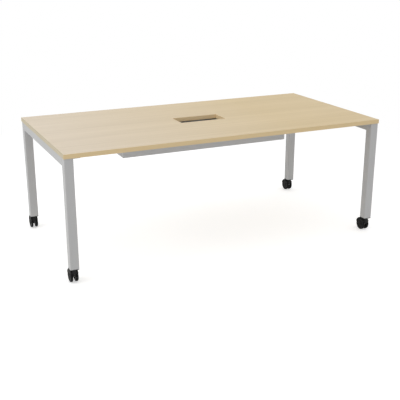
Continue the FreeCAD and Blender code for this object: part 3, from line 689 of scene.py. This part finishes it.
class TABLE_OT_top(bpy.types.Operator):
    """Finish the board in maple decor with a painted sheen at its left end, and its edging in tan strip
    with painted shade on the short edges and painted light in the cut-out
    """

    bl_idname = "table.top"
    bl_label = "Top and edging"

    def execute(self, context):
        colours = context.scene.table_colours
        board = wood_material("MapleDecor", colours.wood_left_painted_sheen, colours.wood_warm,
                              contrast=0.048, roughness=0.46)
        paint_nodes(board, "top_panel")
        for name, tint, turn, nodes in (
                ("TanEdging", colours.edging, 0.0, ("edge_band_front", "edge_band_rear")),
                # A darker copy of the edging strip: painted shade on the short edges.
                ("ShadedEndEdging", colours.end_edging_painted_shade, math.pi / 2, ("edge_band_left", "edge_band_right")),
                # A lighter copy of the edging strip: painted light in the cable cut-out.
                ("LitCutoutEdging", colours.cutout_edging_painted_light, 0.0, ("cutout_band",))):
            strip = wood_material(name, tint, tint, contrast=0.05, roughness=0.42, turn=turn)
            paint_nodes(strip, *nodes)
        return {"FINISHED"}


class TABLE_OT_frame(bpy.types.Operator):
    """Finish the steel frame in silver-grey powder coat"""

    bl_idname = "table.frame"
    bl_label = "Steel frame"

    def execute(self, context):
        coat = coat_material("FrameCoat", context.scene.table_colours.frame_paint, metallic=0.15)
        paint_nodes(coat, "leg_tabs", "beam_tabs", *(f"leg_{name}" for name in CORNERS))
        paint_nodes(coat, *(f"end_rail_{name}" for name in ENDS), *(f"beam_{name}" for name in SIDES))
        paint_nodes(coat, *(f"beam_plate_{side}_{end}" for side in SIDES for end in ENDS))
        return {"FINISHED"}


class TABLE_OT_tray(bpy.types.Operator):
    """Finish the cable tray in its powder coat"""

    bl_idname = "table.tray"
    bl_label = "Cable tray"

    def execute(self, context):
        coat = coat_material("TrayCoat", context.scene.table_colours.tray_paint, metallic=0.1)
        paint_nodes(coat, "cable_tray", *(f"tray_end_{name}" for name in ENDS))
        return {"FINISHED"}


class TABLE_OT_welds(bpy.types.Operator):
    """Lay weld beads along the seams of the steel frame"""

    bl_idname = "table.welds"
    bl_label = "Weld beads"

    def execute(self, context):
        sizes = context.scene.fastener_sizes
        models = {}
        beads = []
        for start, end in self.seams():
            run = end - start
            ripples = round(run.length / sizes.weld_pitch)
            if ripples not in models:
                models[ripples] = self.model(sizes, ripples, run.length)
            place = Matrix.Translation(start) @ run.to_track_quat("Z", "Y").to_matrix().to_4x4()
            beads.append(copy_piece(models[ripples], "WeldBead", place))
        for model in models.values():
            drop(model)
        welds = join_pieces(beads, "FrameWelds")
        paint(welds, bpy.data.materials["FrameCoat"])
        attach(welds, "table")
        return {"FINISHED"}

    def model(self, sizes, ripples, run):
        """Bead up the Z axis: a ripple that swells and draws in, repeated, and two rounded ends."""
        deselect_all()
        step = run / ripples
        bpy.ops.mesh.primitive_circle_add(vertices=BEAD_SIDES, radius=sizes.weld_radius * BEAD_NECK)
        bead = bpy.context.object
        bpy.ops.object.mode_set(mode="EDIT")
        bpy.ops.mesh.select_all(action="SELECT")
        for rise, swell in ((BEAD_RISE, 1.0 / BEAD_NECK), (1.0 - BEAD_RISE, BEAD_NECK)):
            extrude_up(step * rise)
            scale_across(swell)
        bpy.ops.object.mode_set(mode="OBJECT")
        repeat = bead.modifiers.new("Ripples", "ARRAY")
        repeat.count = ripples
        repeat.use_relative_offset = False
        repeat.use_constant_offset = True
        repeat.constant_offset_displace = (0.0, 0.0, step)
        repeat.use_merge_vertices = True
        repeat.merge_threshold = step * BEAD_MERGE
        bpy.ops.object.modifier_apply(modifier=repeat.name)
        for level, way in ((0.0, -1.0), (run, 1.0)):
            select_edges(bead, lambda first, second:
                         max(abs(first.z - level), abs(second.z - level)) < CLOSE)
            bpy.ops.mesh.edge_face_add()
            extrude_up(way * sizes.weld_radius * BEAD_END)
            scale_across(BEAD_TIP)
        bpy.ops.mesh.select_all(action="SELECT")
        bpy.ops.mesh.normals_make_consistent(inside=False)
        finish_mesh(bead, smooth_angle=40.0)
        return bead

    def seams(self):
        """Ends of each seam: rails to legs, beams to their end plates, and tabs to legs and beams."""
        for end in ENDS:
            low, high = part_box(f"end_rail_{end}")
            groove = (high.x - low.x) * SEAM_INSET
            left, right = low.x + groove, high.x - groove
            for along in (low.y, high.y):
                yield Vector((left, along, low.z)), Vector((right, along, low.z))
                for across in (left, right):
                    yield Vector((across, along, low.z)), Vector((across, along, high.z))
        for side in SIDES:
            low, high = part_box(f"beam_{side}")
            for across in (low.x, high.x):
                yield Vector((across, low.y, low.z)), Vector((across, high.y, low.z))
                for along in (low.y, high.y):
                    yield Vector((across, along, low.z)), Vector((across, along, high.z))
        for low, high in solid_boxes("leg_tabs", TAB_SPACE):
            across = low.x if high.x < 0.0 else high.x
            yield Vector((across, low.y, low.z)), Vector((across, high.y, low.z))
        for low, high in solid_boxes("beam_tabs", TAB_SPACE):
            along = high.y if high.y < 0.0 else low.y
            yield Vector((low.x, along, low.z)), Vector((high.x, along, low.z))


class TABLE_OT_steel(bpy.types.Operator):
    """Finish the stems, rings, axles and rivet nuts in zinc plate"""

    bl_idname = "table.steel"
    bl_label = "Stems, axles and nuts"

    def execute(self, context):
        steel = steel_material("ZincPlate", context.scene.table_colours.steel)
        paint_nodes(steel, "rivet_nuts")
        for kind in ("caster_stem", "stem_ring", "caster_axle"):
            paint_nodes(steel, *(f"{kind}_{name}" for name in CORNERS))
        return {"FINISHED"}


class TABLE_OT_bolts(bpy.types.Operator):
    """Model a socket-head frame bolt and put a copy in each hole of the end plates"""

    bl_idname = "table.bolts"
    bl_label = "Frame bolts"

    def execute(self, context):
        sizes = context.scene.fastener_sizes
        boxes = solid_boxes("beam_bolts")
        bolt = self.model(sizes, boxes[0][1].x - boxes[0][0].x)
        copies = []
        for low, high in boxes:
            middle = (low + high) / 2
            way = -1.0 if middle.x > 0.0 else 1.0
            top = Vector((high.x if way > 0.0 else low.x, middle.y, middle.z))
            turn = Matrix.Rotation(way * math.pi / 2, 4, "Y")
            copies.append(copy_piece(bolt, "FrameBolt", Matrix.Translation(top) @ turn))
        drop(bolt)
        bolts = join_pieces(copies, "FrameBolts")
        paint(bolts, bpy.data.materials["ZincPlate"])
        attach(bolts, "table")
        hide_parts("beam_bolts")
        return {"FINISHED"}

    def model(self, sizes, full_length):
        """Bolt down the Z axis with the top of its head at the origin."""
        deselect_all()
        corner = sizes.bolt_socket / 2 / math.cos(math.pi / 6)
        bpy.ops.mesh.primitive_circle_add(vertices=6, radius=corner)
        bolt = bpy.context.object
        bpy.ops.object.mode_set(mode="EDIT")
        bpy.ops.mesh.select_all(action="SELECT")
        bpy.ops.mesh.subdivide(number_cuts=BOLT_SIDES // 6 - 1)
        bpy.ops.mesh.primitive_circle_add(vertices=BOLT_SIDES, radius=sizes.bolt_head)
        bpy.ops.mesh.select_all(action="SELECT")
        bpy.ops.mesh.bridge_edge_loops()
        head = sizes.bolt_head - CLOSE
        select_edges(bolt, lambda first, second: min(first.xy.length, second.xy.length) > head)
        extrude_up(-sizes.bolt_head_height)
        extrude_up(0.0)
        scale_across(sizes.bolt_shank / sizes.bolt_head, -sizes.bolt_head_height)
        extrude_up(sizes.bolt_head_height - full_length)
        bpy.ops.mesh.edge_face_add()
        select_edges(bolt, lambda first, second: max(first.xy.length, second.xy.length) < corner + CLOSE
                     and max(abs(first.z), abs(second.z)) < CLOSE)
        extrude_up(-sizes.bolt_socket_depth)
        bpy.ops.mesh.edge_face_add()
        bpy.ops.mesh.select_all(action="SELECT")
        bpy.ops.mesh.normals_make_consistent(inside=False)
        finish_mesh(bolt, bevel=0.0003, bevel_angle=70.0)
        return bolt


class TABLE_OT_screws(bpy.types.Operator):
    """Model a pan-head wood screw with a cross recess and put copies in the tabs and tray flanges"""

    bl_idname = "table.screws"
    bl_label = "Wood screws"

    def execute(self, context):
        sizes = context.scene.fastener_sizes
        for node, name in (("top_screws", "TopScrews"), ("tray_screws", "TrayScrews")):
            boxes = solid_boxes(node)
            screw = self.model(sizes, boxes[0][1].z - boxes[0][0].z)
            copies = []
            for index, (low, high) in enumerate(boxes):
                middle = (low + high) / 2
                turn = Matrix.Rotation(SCREW_TURN * index, 4, "Z")
                place = Matrix.Translation((middle.x, middle.y, low.z)) @ turn
                copies.append(copy_piece(screw, "Screw", place))
            drop(screw)
            screws = join_pieces(copies, name)
            paint(screws, bpy.data.materials["ZincPlate"])
            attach(screws, "table")
            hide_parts(node)
        return {"FINISHED"}

    def model(self, sizes, full_length):
        """Screw up the Z axis with the underside of its head at the origin."""
        height = sizes.screw_head_height
        screw = cylinder_between(Vector(), Vector((0.0, 0.0, height)), sizes.screw_head, SCREW_SIDES)
        bpy.ops.object.mode_set(mode="EDIT")
        select_edges(screw, lambda first, second: max(first.z, second.z) < CLOSE)
        bpy.ops.mesh.bevel(offset=height * HEAD_ROUND, segments=5)
        select_faces(screw, lambda face: face.normal.z > FACING and len(face.vertices) > ROUND_END)
        bpy.ops.mesh.inset(thickness=sizes.screw_head - sizes.screw_shank)
        point = sizes.screw_shank * POINT_LENGTH
        extrude_up(full_length - height - point)
        extrude_up(point)
        scale_across(POINT_TIP, full_length)
        for turn in (0.0, math.pi / 2):
            deselect_all()
            bpy.ops.mesh.primitive_cube_add(size=1.0, rotation=(0.0, 0.0, turn))
            arm = bpy.context.object
            arm.scale = (sizes.screw_head, sizes.screw_slot, height)
            bpy.ops.object.transform_apply(location=True, rotation=True, scale=True)
            combine(screw, arm, "DIFFERENCE")
        finish_mesh(screw, bevel=0.00015)
        return screw


class TABLE_OT_inserts(bpy.types.Operator):
    """Finish the leg inserts in black moulded plastic"""

    bl_idname = "table.inserts"
    bl_label = "Leg inserts"

    def execute(self, context):
        black = plastic_material("HoodBlack", context.scene.table_colours.caster_black,
                                 grain_scale=1400.0, gloss=0.26)
        paint_nodes(black, *(f"leg_insert_{name}" for name in CORNERS))
        return {"FINISHED"}


class TABLE_OT_hoods(bpy.types.Operator):
    """Model one caster hood with softened edges and put a copy of it on each stem"""

    bl_idname = "table.hoods"
    bl_label = "Caster hoods"

    def execute(self, context):
        hood = self.model(context.scene.caster_sizes)
        paint(hood, bpy.data.materials["HoodBlack"])
        for corner in CORNERS:
            node = f"caster_hood_{corner}"
            low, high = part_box(f"caster_stem_{corner}")
            middle = (low + high) / 2
            place = Matrix.Translation((middle.x, middle.y, 0.0))
            piece = copy_piece(hood, f"CasterHood_{corner}", place)
            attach(piece, f"swivel_{corner}")
            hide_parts(node)
        drop(hood)
        return {"FINISHED"}

    def model(self, sizes):
        """Hood with its swivel axis on the Z axis, standing on the floor's level."""
        axle = Vector((0.0, sizes.trail, sizes.wheel_radius))
        side = Vector((1.0, 0.0, 0.0))
        guard = sizes.wheel_radius + sizes.guard_gap + sizes.guard_wall
        reach = sizes.hood_width / 2
        hood = cylinder_between(axle - side * reach, axle + side * reach, guard, GUARD_SIDES)
        bpy.ops.object.mode_set(mode="EDIT")
        for angle, way in ((sizes.guard_rear, 1.0), (sizes.guard_front, -1.0)):
            bpy.ops.mesh.select_all(action="SELECT")
            across = (0.0, -way * math.sin(angle), way * math.cos(angle))
            bpy.ops.mesh.bisect(plane_co=axle, plane_no=across, use_fill=True, clear_inner=True)
        rim = guard * GUARD_RIM
        select_edges(hood, lambda first, second: abs(first.x - second.x) < CLOSE
                     and min((first - axle).yz.length, (second - axle).yz.length) > rim)
        bpy.ops.mesh.bevel(offset=sizes.guard_round, segments=5)
        foot = Vector((0.0, 0.0, sizes.hood_top - sizes.neck_height))
        top = Vector((0.0, 0.0, sizes.hood_top))
        combine(hood, cylinder_between(foot, top, sizes.neck_radius, NECK_SIDES), "UNION")
        well = sizes.wheel_radius + sizes.guard_gap
        for way in (-1.0, 1.0):
            start, end = side * (way * sizes.web / 2), side * (way * (reach + SPARE))
            combine(hood, cylinder_between(axle + start, axle + end, well, GUARD_SIDES), "DIFFERENCE")
        web = side * (sizes.web / 2)
        combine(hood, cylinder_between(axle - web, axle + web, sizes.boss_radius, NECK_SIDES), "UNION")
        combine(hood, cylinder_between(axle - web * 2, axle + web * 2, sizes.bore_radius), "DIFFERENCE")
        spare = Vector((0.0, 0.0, SPARE))
        combine(hood, cylinder_between(foot - spare, top + spare, sizes.stem_bore), "DIFFERENCE")
        bpy.ops.object.mode_set(mode="EDIT")
        bpy.ops.mesh.select_all(action="SELECT")
        bpy.ops.mesh.remove_doubles(threshold=MERGE)
        bpy.ops.mesh.dissolve_degenerate(threshold=MERGE)
        finish_mesh(hood, bevel=0.0005)
        return hood


class TABLE_OT_wheels(bpy.types.Operator):
    """Model one caster wheel and put a copy of it on each axle end"""

    bl_idname = "table.wheels"
    bl_label = "Caster wheels"

    def execute(self, context):
        sizes = context.scene.caster_sizes
        black = plastic_material("WheelBlack", context.scene.table_colours.wheel_black,
                                 grain_scale=900.0, gloss=0.12)
        wheel = self.model(sizes)
        paint(wheel, black)
        for corner in CORNERS:
            for end in ENDS:
                node = f"wheel_{corner}_{end}"
                low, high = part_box(node)
                turn = Matrix.Rotation(math.pi if end == "left" else 0.0, 4, "Z")
                place = Matrix.Translation((low + high) / 2) @ turn
                piece = copy_piece(wheel, f"CasterWheel_{corner}_{end}", place)
                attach(piece, f"roller_{corner}_{end}")
                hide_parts(node)
        drop(wheel)
        return {"FINISHED"}

    def model(self, sizes):
        """Wheel about the X axis, its outer face towards +X."""
        deselect_all()
        half = sizes.wheel_width / 2
        bpy.ops.mesh.primitive_cylinder_add(vertices=WHEEL_SIDES, radius=sizes.wheel_radius,
                                            depth=sizes.wheel_width, rotation=(0.0, math.pi / 2, 0.0))
        wheel = bpy.context.object
        bpy.ops.object.transform_apply(rotation=True)
        bpy.ops.object.mode_set(mode="EDIT")
        rim_radius = sizes.wheel_radius - sizes.rim
        groove = sizes.hub_radius - sizes.groove_inset
        self.ring_steps(wheel, lambda face: face.normal.x > FACING, sizes.wheel_radius, (
            (rim_radius, 0.0), (rim_radius - sizes.dish, -sizes.dish),
            (sizes.hub_radius + sizes.dish, 0.0), (sizes.hub_radius, sizes.dish), (groove, 0.0),
            (groove - sizes.groove_step, -sizes.groove_depth), (groove - sizes.groove_step * 2, 0.0),
            (groove - sizes.groove_step * 3, sizes.groove_depth)))
        bore = sizes.bore_radius
        wall = bore + sizes.bore_wall
        self.ring_steps(wheel, lambda face: face.normal.x < -FACING, sizes.wheel_radius, (
            (rim_radius, 0.0), (rim_radius - sizes.relief_slope, -sizes.relief),
            (wall + sizes.relief_slope, 0.0), (wall, sizes.relief), (bore, 0.0),
            (bore - BORE_DRAFT, -sizes.bore_depth)))
        tread = sizes.wheel_radius - CLOSE
        select_edges(wheel, lambda first, second: abs(first.x - second.x) < CLOSE and all(
            end.yz.length > tread and abs(abs(end.x) - half) < CLOSE for end in (first, second)))
        bpy.ops.mesh.bevel(offset=sizes.wheel_round, offset_type="OFFSET", segments=6, profile=0.5)
        bpy.ops.object.mode_set(mode="OBJECT")
        finish_mesh(wheel, bevel=0.0004)
        return wheel

    def ring_steps(self, wheel, wanted, radius, steps):
        """Inset the round end face step by step: each step gives the next radius and its rise."""
        select_faces(wheel, lambda face: wanted(face) and len(face.vertices) > ROUND_END)
        for next_radius, rise in steps:
            bpy.ops.mesh.inset(thickness=radius - next_radius, depth=rise)
            radius = next_radius


class TABLE_PT_sidebar(bpy.types.Panel):
    """Lists the table's operators and their settings"""

    bl_label = "Rolling Meeting Table"
    bl_idname = "TABLE_PT_sidebar"
    bl_space_type = "VIEW_3D"
    bl_region_type = "UI"
    bl_category = "Table"

    def draw(self, context):
        for name in SETTINGS:
            settings = getattr(context.scene, name)
            box = self.layout.box()
            for key in settings.__annotations__:
                box.prop(settings, key)
        for operator in OPERATORS:
            self.layout.operator(operator.bl_idname)


OPERATORS = (TABLE_OT_stage, TABLE_OT_top, TABLE_OT_frame, TABLE_OT_welds, TABLE_OT_tray, TABLE_OT_steel,
             TABLE_OT_bolts, TABLE_OT_screws, TABLE_OT_inserts, TABLE_OT_hoods, TABLE_OT_wheels)
SETTINGS = {"table_colours": TableColours, "caster_sizes": CasterSizes,
            "fastener_sizes": FastenerSizes, "table_stage": StageSettings}
CLASSES = (*SETTINGS.values(), *OPERATORS, TABLE_PT_sidebar)


def register():
    for item in CLASSES:
        bpy.utils.register_class(item)
    for name, settings in SETTINGS.items():
        setattr(bpy.types.Scene, name, bpy.props.PointerProperty(type=settings))


def unregister():
    for name in SETTINGS:
        delattr(bpy.types.Scene, name)
    for item in reversed(CLASSES):
        bpy.utils.unregister_class(item)


def main():
    register()
    bpy.ops.table.stage()
    bpy.ops.table.top()
    bpy.ops.table.frame()
    bpy.ops.table.welds()
    bpy.ops.table.tray()
    bpy.ops.table.steel()
    bpy.ops.table.bolts()
    bpy.ops.table.screws()
    bpy.ops.table.inserts()
    bpy.ops.table.hoods()
    bpy.ops.table.wheels()


if __name__ == "__main__":
    main()
